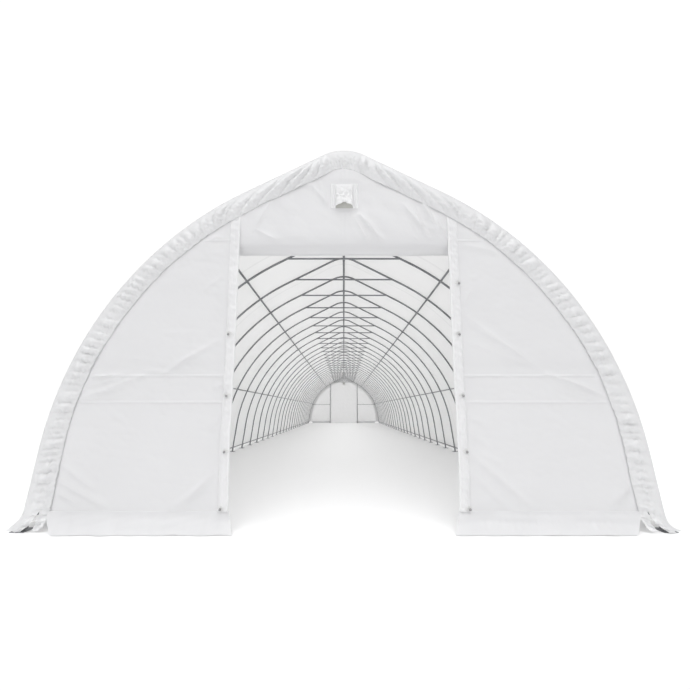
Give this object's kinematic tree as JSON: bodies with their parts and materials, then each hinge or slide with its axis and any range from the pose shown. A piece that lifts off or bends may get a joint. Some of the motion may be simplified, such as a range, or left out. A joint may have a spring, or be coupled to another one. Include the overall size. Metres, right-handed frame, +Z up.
{
  "type": "fabric hangar",
  "caption": "Long gothic-arch fabric hangar: steel tube arches under a white cover, with an open roll-up door in the front gable.",
  "frame": {"origin": "on the ground at the middle of the hall, at the bottom centre of its box", "axes": "+X across the hall to its right seen from the front, +Y along the hall to its rear (the open gable faces -Y), +Z up"},
  "size_m": [9.7596, 39.4676, 5.9775],
  "materials": {
    "frame_steel": "galvanised",
    "cover_fabric": "white coated polyester, satin",
    "hem_fabric": "white coated polyester, doubled"
  },
  "bodies": {
    "root": {"base_plates": "frame_steel", "legs": "frame_steel", "lower_bows": "frame_steel", "middle_bows": "frame_steel", "upper_bows": "frame_steel", "rafters": "frame_steel", "ridge_bends": "frame_steel", "collar_ties": "frame_steel", "ridge_purlin": "frame_steel", "upper_purlins": "frame_steel", "lower_purlins": "frame_steel", "ground_rails": "frame_steel", "front_door_posts": "frame_steel", "front_gable_rails": "frame_steel", "rear_door_posts": "frame_steel", "rear_gable_rails": "frame_steel", "cover_front": "cover_fabric", "cover_middle": "cover_fabric", "cover_rear": "cover_fabric", "side_skirt_left": "cover_fabric", "side_skirt_right": "cover_fabric", "front_hem_band": "cover_fabric", "rear_hem_band": "cover_fabric", "front_wall_left": "cover_fabric", "front_wall_right": "cover_fabric", "front_door_hems": "hem_fabric", "front_skirts": "cover_fabric", "front_curtain": "cover_fabric", "front_curtain_roll": "cover_fabric", "front_roll_tube": "frame_steel", "front_vent_hood": "hem_fabric", "rear_wall_left": "cover_fabric", "rear_wall_right": "cover_fabric", "rear_door_hems": "hem_fabric", "rear_skirts": "cover_fabric", "rear_curtain": "cover_fabric", "rear_curtain_bar": "hem_fabric", "rear_vent_hood": "hem_fabric"}
  },
  "joints": []
}
